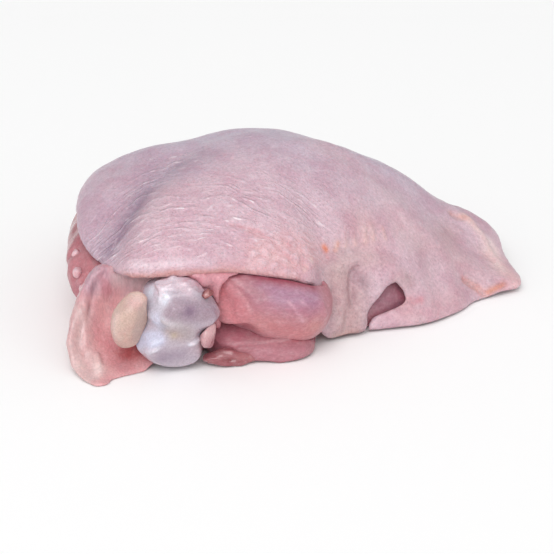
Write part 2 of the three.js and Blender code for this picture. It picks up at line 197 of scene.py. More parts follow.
def node_group(name, inputs, outputs):
    """An empty shader group with named inputs (name, kind, value) and outputs (name, kind)."""
    group = bpy.data.node_groups.new(name, "ShaderNodeTree")
    for label, kind, value in inputs:
        socket = group.interface.new_socket(name=label, in_out="INPUT", socket_type="NodeSocket" + kind)
        if value is not None:
            socket.default_value = value
    for label, kind in outputs:
        group.interface.new_socket(name=label, in_out="OUTPUT", socket_type="NodeSocket" + kind)
    return group, group.nodes.new("NodeGroupInput").outputs, group.nodes.new("NodeGroupOutput").inputs


def feed(tree, socket, value):
    """Links an output to a socket, or sets the socket where the value is a plain one."""
    if hasattr(value, "is_output"):
        tree.links.new(value, socket)
    else:
        socket.default_value = value


def maths(tree, kind, *values):
    """A Math node on sockets or numbers; gives its output."""
    node = tree.nodes.new("ShaderNodeMath")
    node.operation = kind
    for socket, value in zip(node.inputs, values):
        feed(tree, socket, value)
    return node.outputs[0]


def scaled(tree, vector, factors):
    """A vector with each part multiplied by its own factor."""
    node = tree.nodes.new("ShaderNodeVectorMath")
    node.operation = "MULTIPLY"
    feed(tree, node.inputs[0], vector)
    feed(tree, node.inputs[1], factors)
    return node.outputs[0]


def ramp(tree, value, low, high, start=0.0, end=1.0):
    """Takes a value from low to high onto start to end, level outside them."""
    node = tree.nodes.new("ShaderNodeMapRange")
    for label, number in (
        ("Value", value),
        ("From Min", low),
        ("From Max", high),
        ("To Min", start),
        ("To Max", end),
    ):
        feed(tree, node.inputs[label], number)
    return node.outputs[0]


def blend(tree, share, first, second, kind="MIX"):
    """A colour Mix node on sockets or values; gives its output."""
    node = tree.nodes.new("ShaderNodeMix")
    node.data_type = "RGBA"
    node.blend_type = kind
    for slot, value in ((0, share), (6, first), (7, second)):
        feed(tree, node.inputs[slot], value)
    return node.outputs[2]


def clouds(tree, vector, scale=1.0, detail=2.0, rough=0.5):
    """Soft noise about 0.5."""
    node = tree.nodes.new("ShaderNodeTexNoise")
    for label, value in (("Vector", vector), ("Scale", scale), ("Detail", detail), ("Roughness", rough)):
        feed(tree, node.inputs[label], value)
    return node.outputs["Fac"]


# The raw flesh colour of every tissue here: blotches of deeper and of paler colour over the tint.
raw_colour, given, result = node_group(
    "raw_colour",
    [("Place", "Vector", None), ("Tint", "Color", None), ("Size", "Float", 6.0), ("Deep", "Float", 0.3),
     ("Pale", "Float", 0.3)],
    [("Colour", "Color")],
)
per_mm = maths(raw_colour, "DIVIDE", 1.0, given["Size"])
coarse = clouds(raw_colour, given["Place"], per_mm, 3.0)
finer = clouds(raw_colour, given["Place"], maths(raw_colour, "MULTIPLY", per_mm, 3.3), 3.0, 0.6)
deep_share = maths(raw_colour, "MULTIPLY", ramp(raw_colour, coarse, 0.42, 0.66), given["Deep"])
pale_share = maths(raw_colour, "MULTIPLY", ramp(raw_colour, finer, 0.46, 0.72), given["Pale"])
deeper = blend(raw_colour, 1.0, given["Tint"], (0.84, 0.64, 0.72, 1), "MULTIPLY")
deepened = blend(raw_colour, deep_share, given["Tint"], deeper)
bleached = blend(raw_colour, pale_share, deepened, (0.30, 0.27, 0.27, 1), "SCREEN")
speckle = clouds(raw_colour, given["Place"], maths(raw_colour, "MULTIPLY", per_mm, 9.0), 2.0, 0.7)
shade = ramp(raw_colour, speckle, 0.3, 0.7, 0.80, 1.04)
feed(raw_colour, result["Colour"], scaled(raw_colour, bleached, shade))

# The film of moisture on every cut surface: its gloss comes and goes, over a fine uneven relief.
moist_film, given, result = node_group(
    "moist_film",
    [("Place", "Vector", None), ("Size", "Float", 1.0), ("Wet", "Float", 0.25), ("Dull", "Float", 0.5)],
    [("Roughness", "Float"), ("Height", "Float")],
)
patches = clouds(moist_film, given["Place"], 0.22, 3.0)
feed(moist_film, result["Roughness"], ramp(moist_film, patches, 0.36, 0.64, given["Wet"], given["Dull"]))
grain = clouds(moist_film, given["Place"], maths(moist_film, "DIVIDE", 1.0, given["Size"]), 4.0, 0.55)
feed(moist_film, result["Height"], grain)


def tissue(name, blotch, deep, pale, wet, dull, grain, relief, film, soak, fibre=(1, 1, 1)):
    """A raw tissue over the piece's painted tint: blotched colour, patchy moisture and a fine relief.
    blotch, grain and relief are in mm. deep and pale say how strong the darker and the paler blotches
    are, wet and dull how rough it is in and out of the moist patches, film how strong the glossy coat
    is, and soak how much light goes under the surface. fibre below 1 draws the pattern out that way."""
    material = bpy.data.materials.new(name)
    material.use_nodes = True
    tree = material.node_tree
    shader = tree.nodes["Principled BSDF"]
    metres = tree.nodes.new("ShaderNodeTexCoord").outputs["Object"]
    place = scaled(tree, metres, tuple(1000 * f for f in fibre))
    tint = tree.nodes.new("ShaderNodeAttribute")
    tint.attribute_name = "tint"
    colour = tree.nodes.new("ShaderNodeGroup")
    colour.name, colour.node_tree = "colour", raw_colour
    moisture = tree.nodes.new("ShaderNodeGroup")
    moisture.name, moisture.node_tree = "moisture", moist_film
    bump = tree.nodes.new("ShaderNodeBump")
    bump.name = "relief"
    for socket, value in (
        (colour.inputs["Place"], place),
        (colour.inputs["Tint"], tint.outputs["Color"]),
        (colour.inputs["Size"], blotch),
        (colour.inputs["Deep"], deep),
        (colour.inputs["Pale"], pale),
        (moisture.inputs["Place"], place),
        (moisture.inputs["Size"], grain),
        (moisture.inputs["Wet"], wet),
        (moisture.inputs["Dull"], dull),
        (bump.inputs["Height"], moisture.outputs["Height"]),
        (bump.inputs["Distance"], relief / 1000),
        (shader.inputs["Base Color"], colour.outputs["Colour"]),
        (shader.inputs["Roughness"], moisture.outputs["Roughness"]),
        (shader.inputs["Normal"], bump.outputs["Normal"]),
        (shader.inputs["Specular IOR Level"], 0.3),
        (shader.inputs["Coat Weight"], film),
        (shader.inputs["Coat Roughness"], 0.14),
        (shader.inputs["Subsurface Weight"], soak),
        (shader.inputs["Subsurface Radius"], (1.0, 0.36, 0.3)),
        (shader.inputs["Subsurface Scale"], 0.0018),
    ):
        feed(tree, socket, value)
    return material


def dress(piece, nodes, material):
    """Gives a piece its finish, hangs it on the root body, and hides the solids it stands for."""
    piece.data.materials.append(material)
    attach(piece, "root")
    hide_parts(*nodes)


meat = from_solids(["thigh_meat"], "thigh_meat_flesh", step=0.8, rounds=10)
grab(meat, [
    ([(-23.5, -36.0, 20.4), (-14.0, -35.2, 19.4)], 3.0, (0.1, -2.8, 0.8)),
    ([(-17.6, -34.6, 14.5), (-17.8, -33.8, 11.0), (-18.4, -33.2, 6.6)], 2.8, (0.4, -3.4, 0)),
    ([(-53.5, -6, 17), (-52.5, -18, 16.5)], 4.0, (-0.1, 0, 0.5)),
])
# At the back a groove between two muscles wanders along, about 9 mm above the board. At the front the
# edge beside the knuckle is torn.
at, _ = surface(meat)
groove_height, groove_width = 9, 0.8
seam = (at[:, 2] - groove_height - 3.5 * uneven(at * (1, 1, 0), 17.0, 31)) / groove_width
behind = np.clip((at[:, 1] - 0.3 * at[:, 0] - 2) / 10, 0, 1)
torn_edge = [(-20.5, -38, 20.2), (-17.4, -37.4, 17.5), (-17.6, -36.6, 12), (-18.4, -36.0, 7.6)]
by_knuckle = near(at, torn_edge, 3.2)
push(meat, 0.25 * uneven(at * (1, 0.4, 1), 3.0) + 0.35 * uneven(at, 8.0, 5)
     + by_knuckle * (0.3 + 1.3 * uneven(at * (1, 1, 0.45), 1.7, 2))
     - 0.9 * behind * np.exp(-(seam ** 2)) + 0.4 * behind * uneven(at * (0.4, 0.4, 1), 3.5, 33)
     + folds(at, [
         ([(-50.9, -17.8, 18.5), (-49.8, -25, 17), (-48.4, -28.5, 14.2)], 2.0, 0.5),
         ([(-52.4, -21.5, 14.5), (-51.0, -27, 12)], 1.6, 0.6),
     ]))
paint(meat, (184, 118, 125), [
    ((182, 114, 122), [(-53.5, -8, 17), (-53, -14, 17), (-52, -21, 17.7)], 5, 0.9),
    ((162, 88, 98), [(-55.0, 3.2, 17.8), (-53.7, -4.7, 19.0), (-52.6, -10.7, 19.5)], 1.6, 0.9),
    ((200, 144, 152), [(-51.4, -16, 17.6), (-49.8, -25, 16.0), (-49, -28.6, 13.6)], 1.4, 0.8),
    ((168, 92, 102), [(-49.4, -30.5, 11), (-48.5, -31.5, 8)], 2.4, 0.9),
    ((158, 108, 122), [(18, -18, 7), (24.7, -15.9, 5.8)], 6, 1.0),
    ((166, 96, 108), (25.5, -15.2, 6.6), 1.6, 0.8),
    ((216, 154, 164), [(-21.5, -38.0, 20.4), (-16.0, -37.4, 19.8)], 2.6, 1.1),
    ((206, 136, 144), [(-18.0, -37.4, 16.6), (-16.6, -37.0, 18)], 2.2, 1.0),
    ((196, 124, 132), [(-17.6, -37.0, 12.6), (-18.0, -36.6, 9.6)], 2.4, 1.0),
    ((172, 104, 114), [(-18.4, -35.4, 6.0), (-19.4, -34, 2)], 2.4, 0.9),
    ((218, 168, 176), [(-18.9, -38.2, 14.6), (-18.3, -37.8, 12.0)], 0.8, 0.7),
])
dark_meat = tissue("dark_meat", blotch=5, deep=0.6, pale=0.25, wet=0.2, dull=0.42, grain=1.2, relief=0.12,
                   film=0.3, soak=0.12, fibre=(1, 0.5, 1))
dress(meat, ["thigh_meat"], dark_meat)

# ---- Femur ----------------------------------------------------------------------------------
# The thigh bone, whose shaft runs through the meat. At the knee end its two rounded heads are capped
# with smooth bluish cartilage with a purple bruise; the left facets are painted bluish white as painted
# light, with painted highlights along the ridges, and the front is painted grey as shade. Shreds of the
# torn joint membrane cling to its top.


def pare(piece, place, facing, soft):
    """Pares a piece flat on a plane through a place, facing that way; its edge fades over `soft` mm."""
    at, _ = surface(piece)
    facing = np.array(facing) / np.linalg.norm(facing)
    proud = (at - place) @ facing
    settle(piece, at - (soft * np.logaddexp(0, proud / soft))[:, None] * facing)


femur = from_solids(["femur"], "femur_bone", step=0.38, rounds=6, grow=0.2)
grab(femur, [
    ((-33.8, -43.2, 16.2), 2.6, (-1.5, -0.5, 0.0)),
    ((-34.6, -44.2, 8.0), 2.4, (-1.3, -0.2, 0.3)),
    ([(-33.6, -44.4, 12.0), (-31.6, -45.4, 11.4)], 1.7, (0.9, 1.3, 0)),
    ([(-31.0, -40.4, 21.0), (-26.4, -39.8, 21.4), (-22.4, -39.2, 20.4)], 2.2, (0, 0.5, 0.9)),
    ((-20.0, -42.6, 14.6), 1.8, (0.6, -0.5, 0)),
    ([(-21.0, -42.6, 10.6), (-21.4, -41.4, 9.4)], 1.7, (-0.5, 0.4, 0)),
])
pare(femur, (-24.6, -45.2, 16.2), (0.30, -0.93, -0.22), 0.22)
pare(femur, (-34.2, -43.2, 16.8), (-0.80, -0.46, 0.38), 0.18)
pare(femur, (-27.4, -45.2, 4.6), (0.12, -0.90, -0.42), 0.2)
pare(femur, (-34.6, -43.8, 8.0), (-0.70, -0.62, 0.36), 0.18)
pare(femur, (-26.6, -42.6, 19.9), (0.05, -0.55, 0.83), 0.2)
at, _ = surface(femur)
lower_ridge = [(-33.3, -45.4, 6.7), (-29.7, -45.8, 7.6), (-24.5, -43.9, 7.2), (-22.2, -41.6, 7.8)]
torn_lip = [(-31.6, -42.6, 19.0), (-28.8, -43.4, 20.0), (-25.4, -43.0, 20.0), (-21.6, -41.0, 18.8)]
top = [(-30.5, -41.5, 20.2), (-27.3, -40.4, 21.0), (-24.0, -40.2, 20.4), (-21.2, -39.4, 18.8)]
shreds = near(at, top, 2.2)
push(femur, 0.05 * uneven(at, 2.5) + folds(at, [
    (lower_ridge, 0.6, 0.45),
    ([(-31.4, -45.2, 16.8), (-29.9, -45.7, 14.6), (-27.6, -45.7, 13.2)], 0.6, 0.25),
    (torn_lip, 0.6, 0.45),
    ((-27.6, -44.5, 10.2), 1.5, -0.3),
    ([(-18.6, -40.4, 15.2), (-18.4, -39.6, 13.6)], 1.4, 0.4),
]) + shreds * np.maximum(0, 0.2 + 1.3 * uneven(at * (0.45, 1, 1), 1.0, 3)))
paint(femur, (186, 172, 184), [
    # painted shade: the grey front of the upper head
    ((170, 150, 162), [(-27.4, -45.4, 17.0), (-21.0, -44.0, 15.8)], 2.6, 2.0),
    ((178, 158, 156), [(-29.0, -45.2, 11.4), (-25.6, -44.2, 10.4)], 1.9, 1.0),
    # painted light: the left facets painted bluish white, with painted highlights along the ridge and on
    # the crown
    ((214, 216, 234), [(-34.8, -41.8, 18.4), (-34.0, -44.0, 16.4), (-32.2, -44.8, 13.8)], 1.9, 2.2),
    ((214, 213, 228), [(-32.6, -44.6, 16.8), (-31.6, -44.8, 18.2), (-30.6, -43.6, 19.6)], 1.7, 2.0),
    ((222, 218, 230), [(-31.4, -45.2, 16.8), (-29.9, -45.7, 14.6), (-27.6, -45.7, 13.2)], 0.6, 1.2),
    ((238, 242, 252), [(-33.6, -43.4, 17.8), (-31.5, -45.0, 18.0), (-30.4, -43.9, 19.2)], 1.6, 2.0),
    ((226, 228, 242), [(-33.8, -42.0, 17.8), (-32.8, -40.4, 19.0)], 1.3, 1.2),
    ((112, 84, 116), (-23.8, -45.4, 16.3), 1.2, 1.1),
    ((146, 120, 140), (-23.6, -45.3, 16.2), 2.3, 0.7),
    ((160, 136, 150), [(-20.4, -43.8, 15.6), (-18.8, -42.2, 15.0)], 1.5, 0.9),
    ((198, 186, 190), [(-29.6, -45.8, 13.8), (-26.4, -45.4, 12.8)], 1.1, 0.9),
    ((176, 162, 166), [(-25.0, -44.2, 11.4), (-24.2, -43.4, 9.6)], 1.6, 0.8),
    ((188, 166, 142), (-27.5, -44.5, 10.2), 0.8, 0.8),
    # painted light: the bluish white left facet of the lower head
    ((196, 196, 216), [(-35.6, -43.0, 8.4), (-33.4, -44.4, 9.4), (-31.4, -45.0, 9.6)], 1.8, 1.8),
    ((160, 144, 160), [(-29.8, -45.4, 4.4), (-25.2, -44.4, 4.4)], 1.7, 1.8),
    ((140, 120, 150), (-28.0, -45.6, 5.0), 1.0, 0.8),
    # painted highlight along the lower ridge
    ((226, 222, 232), lower_ridge, 0.5, 1.4),
    ((176, 146, 152), (-22.0, -40.8, 6.0), 1.8, 0.8),
    ((222, 200, 210), [(-30.5, -41.5, 20.0), (-27.3, -40.2, 21.0), (-24.6, -41.4, 20.2)], 1.9, 0.9),
    ((206, 156, 168), [(-24.4, -39.2, 20.6), (-21.0, -38.4, 18.8)], 1.5, 0.9),
    ((212, 168, 178), [(-30.4, -38.6, 21.0), (-26, -38.2, 21.2)], 1.0, 0.8),
])
cartilage = tissue("cartilage", blotch=4, deep=0.15, pale=0.2, wet=0.14, dull=0.3, grain=1.4, relief=0.03,
                   film=0.5, soak=0.12)
dress(femur, ["femur"], cartilage)

# ---- Kneecap pad ----------------------------------------------------------------------------
# The egg-shaped pad of beige fat that lies against the knuckle's left side, where its two heads meet.
# It is smooth and satin, a little flat in front, with a paler lip on its left.
pad = from_solids(["kneecap_pad"], "kneecap_pad_fat", step=0.34, rounds=8, grow=0.15)
grab(pad, [
    ([(-36.0, -45.4, 19.2)], 3.2, (0.9, 1.8, -0.4)),
    ([(-40.2, -44.8, 19.0)], 2.8, (0.7, 0.4, -0.6)),
    ([(-37.5, -46.5, 9.0)], 3.0, (-0.7, 0.6, -0.3)),
    ([(-33.4, -46.4, 15.6), (-33.2, -46.4, 10.4)], 2.8, (-0.8, 2.4, 0)),
])
pare(pad, (-37.2, -46.4, 13.6), (0.10, -0.98, 0.12), 0.5)
pare(pad, (-35.4, -45.0, 13.4), (0.86, -0.48, -0.16), 0.25)
at, _ = surface(pad)
push(pad, 0.12 * uneven(at, 3.5) + folds(at, [
    ([(-39.6, -45.8, 17.5), (-40.4, -45.9, 13.5), (-39.8, -45.8, 10.5)], 0.6, 0.25),
    ([(-38.4, -46.6, 18.0), (-39.2, -46.8, 14.0), (-38.6, -46.6, 10.5)], 0.6, -0.2),
]))
paint(pad, (202, 173, 161), [
    ((214, 186, 180), [(-40.2, -45.4, 17.5), (-40.8, -45.6, 13), (-40.0, -45.4, 10)], 1.1, 0.9),
    ((200, 164, 154), [(-38.5, -46.2, 9.0), (-36.5, -45.8, 8.6)], 2.0, 0.9),
    ((216, 178, 176), [(-37.6, -44.8, 19.4), (-34.8, -44.8, 18.8)], 1.8, 1.0),
])
pad_fat = tissue("pad_fat", blotch=3.5, deep=0.3, pale=0.2, wet=0.3, dull=0.45, grain=1.6, relief=0.07,
                 film=0.15, soak=0.2)
dress(pad, ["kneecap_pad"], pad_fat)

# ---- Knee muscle and membrane ---------------------------------------------------------------
# The cupped pink muscle at the left front, which runs out in a tongue on the board. The deep red in the
# corner beside the knuckle is painted shade. A thin pale membrane has grown onto its outer edge, and is
# pulled into grey-white strands at its top, where it joins the skin.
cup = from_solids(["knee_muscle", "membrane"], "knee_muscle_in_membrane", step=0.4, rounds=34, grow=0.6)
grab(cup, [((-44.6, -32.0, 21.2), 2.6, (0.5, 1.3, -0.9))])
at, _ = surface(cup)
lip = [(-49.0, -35.2, 12.6), (-50.0, -38.0, 8.9), (-50.5, -41.0, 5.2), (-49.5, -43.6, 2.0),
       (-46.6, -46.5, 0.6)]
inner_lip = [(-47.6, -35.2, 11), (-48.2, -37.2, 7.2), (-47.2, -40.2, 4.0), (-45.4, -42.6, 2.2)]
strands = near(at, [(-46.2, -30.5, 20.5), (-46.9, -33.2, 17.2), (-48.4, -34.6, 13.8)], 2.6)
push(cup, 0.15 * uneven(at, 4.0) + 0.12 * uneven(at * (1, 1, 0.35), 1.4, 8)
     + strands * 0.3 * uneven(at * (1, 1, 0.15), 0.8, 4)
     + folds(at, [([(-48.4, -34.8, 13.0), (-48.2, -36.6, 8.6), (-47.8, -39.4, 5.4)], 1.3, 0.7),
                  ([(-45.2, -40.6, 3.4), (-44.6, -42.6, 2.2)], 0.7, 0.6)]))
paint(cup, (217, 160, 162), [
    ((214, 180, 184), [(-41.0, -31.5, 18.8), (-35.5, -32.2, 17.5), (-34, -33, 19)], 3.0, 1.1),
    ((176, 136, 150), [(-43.9, -32.2, 20), (-43.9, -32.2, 18.4)], 1.9, 1.0),
    ((196, 128, 138), [(-44.6, -32.6, 18.6), (-43.3, -32.4, 15.8)], 1.7, 1.0),
    ((216, 178, 178), [(-39.6, -33.2, 14.2), (-40.4, -33.8, 11)], 0.8, 0.5),
    ((212, 147, 150), [(-43.5, -37, 5.6), (-41.5, -37.6, 4.0)], 3.0, 0.9),
    # painted shade: deep red in the corner beside the knuckle
    ((184, 92, 94), [(-38.6, -38.4, 2.6), (-36.0, -38.0, 3.6)], 2.6, 1.1),
    ((208, 148, 150), [(-42, -42, 1.0), (-38, -41.4, 0.7)], 1.6, 0.7),
    ((206, 168, 168), inner_lip, 1.5, 1.0),
    ((204, 168, 168), lip, 2.2, 1.3),
    ((188, 156, 168), [(-46.9, -33.4, 17.2), (-46.2, -31, 20)], 2.4, 1.0),
    ((212, 180, 178), [(-49.4, -43.6, 2.0), (-46, -46.4, 0.6), (-44.8, -44.0, 1.4)], 1.8, 1.1),
    ((240, 216, 212), [(-44.8, -43.6, 1.6), (-44.6, -45.6, 0.9)], 1.1, 0.9),
    ((234, 212, 206), [(-45.2, -40.8, 3.2), (-44.7, -42.6, 2.2)], 0.6, 1.0),
])
pink_muscle = tissue("pink_muscle", blotch=4, deep=0.4, pale=0.3, wet=0.24, dull=0.42, grain=1.1,
                     relief=0.09, film=0.3, soak=0.18, fibre=(1, 1, 0.4))
dress(cup, ["knee_muscle", "membrane"], pink_muscle)

# ---- Side muscles ---------------------------------------------------------------------------
# The two plump pink muscles to the right of the knuckle, one on the other, each in its own thin
# glossy sheath that turns purple under the skin's edge. The upper one is folded near the knuckle.
# The upper one carries a painted shadow just under the skin's edge and thin painted highlights; the
# lower one is painted darker as shade under the upper one, with painted light on its foot.
sheath = tissue("sheathed_muscle", blotch=4, deep=0.45, pale=0.25, wet=0.3, dull=0.46, grain=1.4,
                relief=0.08, film=0.2, soak=0.15, fibre=(0.6, 1, 1))
upper = from_solids(["upper_muscle"], "upper_muscle_flesh", step=0.42, rounds=6, grow=0.4)
grab(upper, [
    ([(-16.2, -35.6, 18.4), (-16.4, -35.6, 13.4)], 3.4, (-3.4, 0.2, 0.6)),
    ([(-14.8, -36.8, 10.2)], 3.0, (-1.8, -0.2, -1.8)),
    ([(-12.0, -36.0, 19.4)], 2.6, (-1.2, 0.2, 0.7)),
    ([(-16.0, -35.6, 8.6), (-12.0, -36.4, 7.8)], 2.6, (0.2, 0.6, 2.2)),
])
pare(upper, (-4.0, -37.6, 16.6), (0.16, -0.78, 0.60), 0.4)
pare(upper, (-4.0, -38.4, 10.4), (0.05, -0.96, -0.28), 0.4)
pare(upper, (-15.0, -37.0, 14.6), (-0.40, -0.90, 0.06), 0.3)
at, _ = surface(upper)
sheath_fold = [(-15.4, -35.5, 19.4), (-13.5, -36.9, 18.0), (-11.4, -38.0, 15.6), (-10.6, -38.3, 13.0)]
push(upper, 0.12 * uneven(at * (0.5, 1, 1), 3.0) + 0.2 * uneven(at, 7.0, 2) + folds(at, [
    (sheath_fold, 0.55, -0.5),
    ([(-15.6, -36.6, 17.6), (-14.0, -37.6, 15.4), (-13.4, -37.8, 12.6)], 1.0, 0.35),
    ([(5.0, -35.6, 15.2), (6.0, -35.2, 11.0)], 1.0, 0.4),
]))
paint(upper, (186, 126, 134), [
    ((170, 126, 148), [(-8, -36.8, 18.0), (-3, -37.0, 16.5), (2.8, -35.6, 15.0)], 3.4, 1.1),
    # painted shadow: a dark line just under the skin's edge
    ((152, 74, 90), [(-14, -34.6, 19.8), (-8, -35.2, 19.9), (-1, -34.2, 18.8), (3, -33, 17)], 1.3, 1.0),
    ((194, 120, 128), [(-18.4, -36.1, 16.6), (-13.6, -37.6, 14.6), (-13, -37.8, 10)], 3.0, 1.2),
    ((220, 144, 150), [(-18.0, -36.0, 16.8), (-16.4, -36.4, 14.6), (-15.6, -36.8, 11.6)], 2.0, 0.9),
    ((196, 128, 132), [(-8.7, -38.4, 10.0), (-4, -38.3, 8.4), (1.4, -36.6, 6.8)], 2.6, 1.0),
    ((204, 148, 144), (3.8, -36.4, 9.0), 2.2, 0.9),
    ((188, 130, 140), [(5.6, -34.8, 11), (6.6, -33.2, 13.6)], 2.0, 0.8),
    ((164, 104, 116), [(-11.0, -37.4, 18.2), (-8.4, -37.6, 16.6)], 2.0, 0.9),
    # painted highlights: thin pale streaks on the front and along the sheath's fold
    ((210, 164, 178), [(-2.4, -38.0, 15.9), (-0.4, -38.3, 13.4), (1.0, -37.8, 10.6)], 0.35, 0.8),
    ((208, 160, 176), [(0.4, -37.4, 15.6), (1.9, -37.2, 14.0)], 0.3, 0.6),
    ((216, 160, 166), sheath_fold[1:], 0.4, 0.5),
])
dress(upper, ["upper_muscle"], sheath)
lower = from_solids(["lower_muscle"], "lower_muscle_flesh", step=0.42, rounds=6, grow=0.35)
grab(lower, [
    ([(-17.0, -35.4, 6.4), (-13.0, -36.4, 7.0)], 2.8, (-1.0, -1.0, 1.4)),
    ([(-12.0, -37.2, 6.2), (-2.0, -37.4, 5.6)], 1.7, (0, -0.2, 0.7)),
    ([(-16.4, -34.4, 7.8), (-12.6, -35.6, 7.0)], 2.4, (0.2, -0.9, 1.8)),
])
pare(lower, (-4.0, -37.4, 2.4), (0.10, -0.93, 0.10), 0.3)
pare(lower, (-10.0, -36.6, 5.2), (-0.05, -0.62, 0.78), 0.4)
at, _ = surface(lower)
push(lower, 0.2 * uneven(at * (0.5, 1, 1), 3.0, 4) + folds(at, [
    ([(-13.4, -37.6, 4.0), (-9.6, -38.2, 4.4), (-5.0, -37.8, 5.0)], 0.6, -0.4),
    ([(-19, -35.6, 4.4), (-14.8, -37.0, 3.2)], 0.8, -0.5),
]))
# the ground is the muscle's deep pink, darkened as painted shade where the upper muscle overhangs it
paint(lower, (160, 95, 105), [
    # painted light: the paler foot in front
    ((180, 122, 132), [(-9, -37.9, 2.6), (-3, -37.7, 2.0), (1.8, -35.9, 2.0)], 1.9, 1.2),
    ((178, 108, 120), [(-14, -36.6, 6.2), (-17, -35, 5.5)], 2.6, 0.9),
    # painted shade: a dark line where the upper muscle lies on it
    ((150, 76, 84), [(-11, -36.8, 6.8), (-4, -37.2, 6.2), (2, -36, 5.2)], 0.9, 0.7),
])
dress(lower, ["lower_muscle"], sheath)

# ---- Torn strip -----------------------------------------------------------------------------
# A dark red sliver of meat, torn off at the cut and still held between the knuckle's foot and the
# lower muscle. It is wet and ragged, with a split along it painted dark as shade, and a pale painted
# highlight.
strip = from_solids(["torn_strip"], "torn_strip_meat", step=0.28, rounds=3, grow=0.2)
grab(strip, [((-11.0, -38.8, 1.6), 2.0, (0.6, 0.8, -0.2)), ((-16.0, -38.8, 3.0), 2.4, (0, 0.9, 0.6))])
at, _ = surface(strip)
push(strip, 0.45 * uneven(at * (0.35, 1, 1), 1.1)
     + folds(at, [([(-19.5, -39.2, 1.8), (-16.0, -39.6, 2.0), (-13.0, -39.4, 1.6)], 0.5, -0.5)]))
paint(strip, (156, 90, 96), [
    # painted highlight on the top, then painted shade in the split
    ((206, 166, 168), [(-18.0, -38.9, 2.8), (-15.2, -38.8, 3.0)], 0.5, 0.9),
    ((126, 52, 58), [(-19.5, -39.2, 1.6), (-16.0, -39.6, 1.8), (-13.0, -39.4, 1.4)], 0.5, 0.9),
    ((168, 102, 106), [(-13, -38.6, 1.8), (-10.9, -38.4, 1.5)], 1.4, 0.7),
])
torn_meat = tissue("torn_meat", blotch=2.4, deep=0.7, pale=0.3, wet=0.15, dull=0.35, grain=0.9, relief=0.2,
                   film=0.5, soak=0.1, fibre=(0.5, 1, 1))
dress(strip, ["torn_strip"], torn_meat)

# ---- Tendon and ligament --------------------------------------------------------------------
# The two cut ends that are still grown onto the knuckle's right side, both tough and fibrous: a
# brownish tendon above, a pale pink ligament below.
tendon = from_solids(["tendon_end"], "tendon_end_cut", step=0.25, rounds=3, grow=0.1)
at, _ = surface(tendon)
push(tendon, 0.6 * uneven(at, 0.9) - 0.25)
pare(tendon, (-20.2, -41.8, 17.4), (0.45, -0.1, -0.88), 0.2)
grab(tendon, [((-20.4, -41.8, 18.6), 4.0, (-0.8, 0.4, 0.6))])
# the pale spot on the cut end is a painted highlight
paint(tendon, (138, 70, 72), [((206, 158, 156), (-20.4, -42.0, 19.2), 0.7, 0.8)])
gristle = tissue("tendon", blotch=2, deep=0.4, pale=0.3, wet=0.25, dull=0.45, grain=0.7, relief=0.12,
                 film=0.3, soak=0.12)
dress(tendon, ["tendon_end"], gristle)
ligament = from_solids(["ligament_stub"], "ligament_stub_cut", step=0.25, rounds=3, grow=0.1)
at, _ = surface(ligament)
push(ligament, 0.7 * uneven(at * (1, 1, 0.4), 1.3))
grab(ligament, [
    ((-19.4, -41.4, 9.6), 1.6, (0.6, 0.4, 1.8)),
    ((-20.0, -42.4, 7.0), 1.6, (-0.3, 0.5, -0.4)),
])
paint(ligament, (198, 152, 156), [
    ((172, 112, 122), [(-18.8, -41.6, 7.2), (-19.4, -41.4, 6.0)], 1.3, 0.9),
    # painted highlight on the top
    ((214, 180, 180), (-20.4, -42.4, 9.6), 0.8, 0.8),
])
membrane = tissue("membrane", blotch=2, deep=0.5, pale=0.5, wet=0.2, dull=0.4, grain=0.7, relief=0.15,
                  film=0.4, soak=0.2, fibre=(1, 1, 0.4))
dress(ligament, ["ligament_stub"], membrane)

# ---- Edge fat -------------------------------------------------------------------------------
# Three soft rosy beads of fat in a row down the left side, each with a painted highlight on its crown.
# Each is held in a dimple of the dark meat.
soft_fat = tissue("soft_fat", blotch=2, deep=0.45, pale=0.4, wet=0.22, dull=0.4, grain=0.8, relief=0.08,
                  film=0.35, soak=0.15)
for number in (1, 2, 3):
    node = f"edge_fat_{number}"
    bead = from_solids([node], f"{node}_bead", step=0.22, rounds=4)
    at, _ = surface(bead)
    push(bead, 0.5 * uneven(at, 1.5, number) - 0.1)
    # The painted highlight, in mm: above the middle of the solid and a little in front of it.
    low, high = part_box(node)
    painted_highlight = (Vector(low) + Vector(high)) * 500 + Vector((-0.4, -0.6, 1.0))
    paint(bead, (214, 166, 172), [((234, 204, 210), painted_highlight, 0.9, 0.9)])
    dress(bead, [node], soft_fat)

# ---- Skin -----------------------------------------------------------------------------------
# The skin: one thin elastic sheet with fat under it, drawn tight over the dome, rolled under at the
# front, hanging as a curtain of fat at the right and running out in the loose tail. Fine wrinkles
# fan over the front, and a valley, painted grey as shade, marks where it sinks beside the shelf at the
# left.
skin = from_solids(["skin"], "skin_sheet", step=0.56, rounds=6)
at, out = surface(skin)
# 1 on the outer face of the sheet, 0 on its inner one.
from_middle = at / np.linalg.norm(at + 1e-9, axis=1)[:, None]
above = np.clip(np.einsum("ij,ij->i", out, from_middle) * 3, 0, 1)

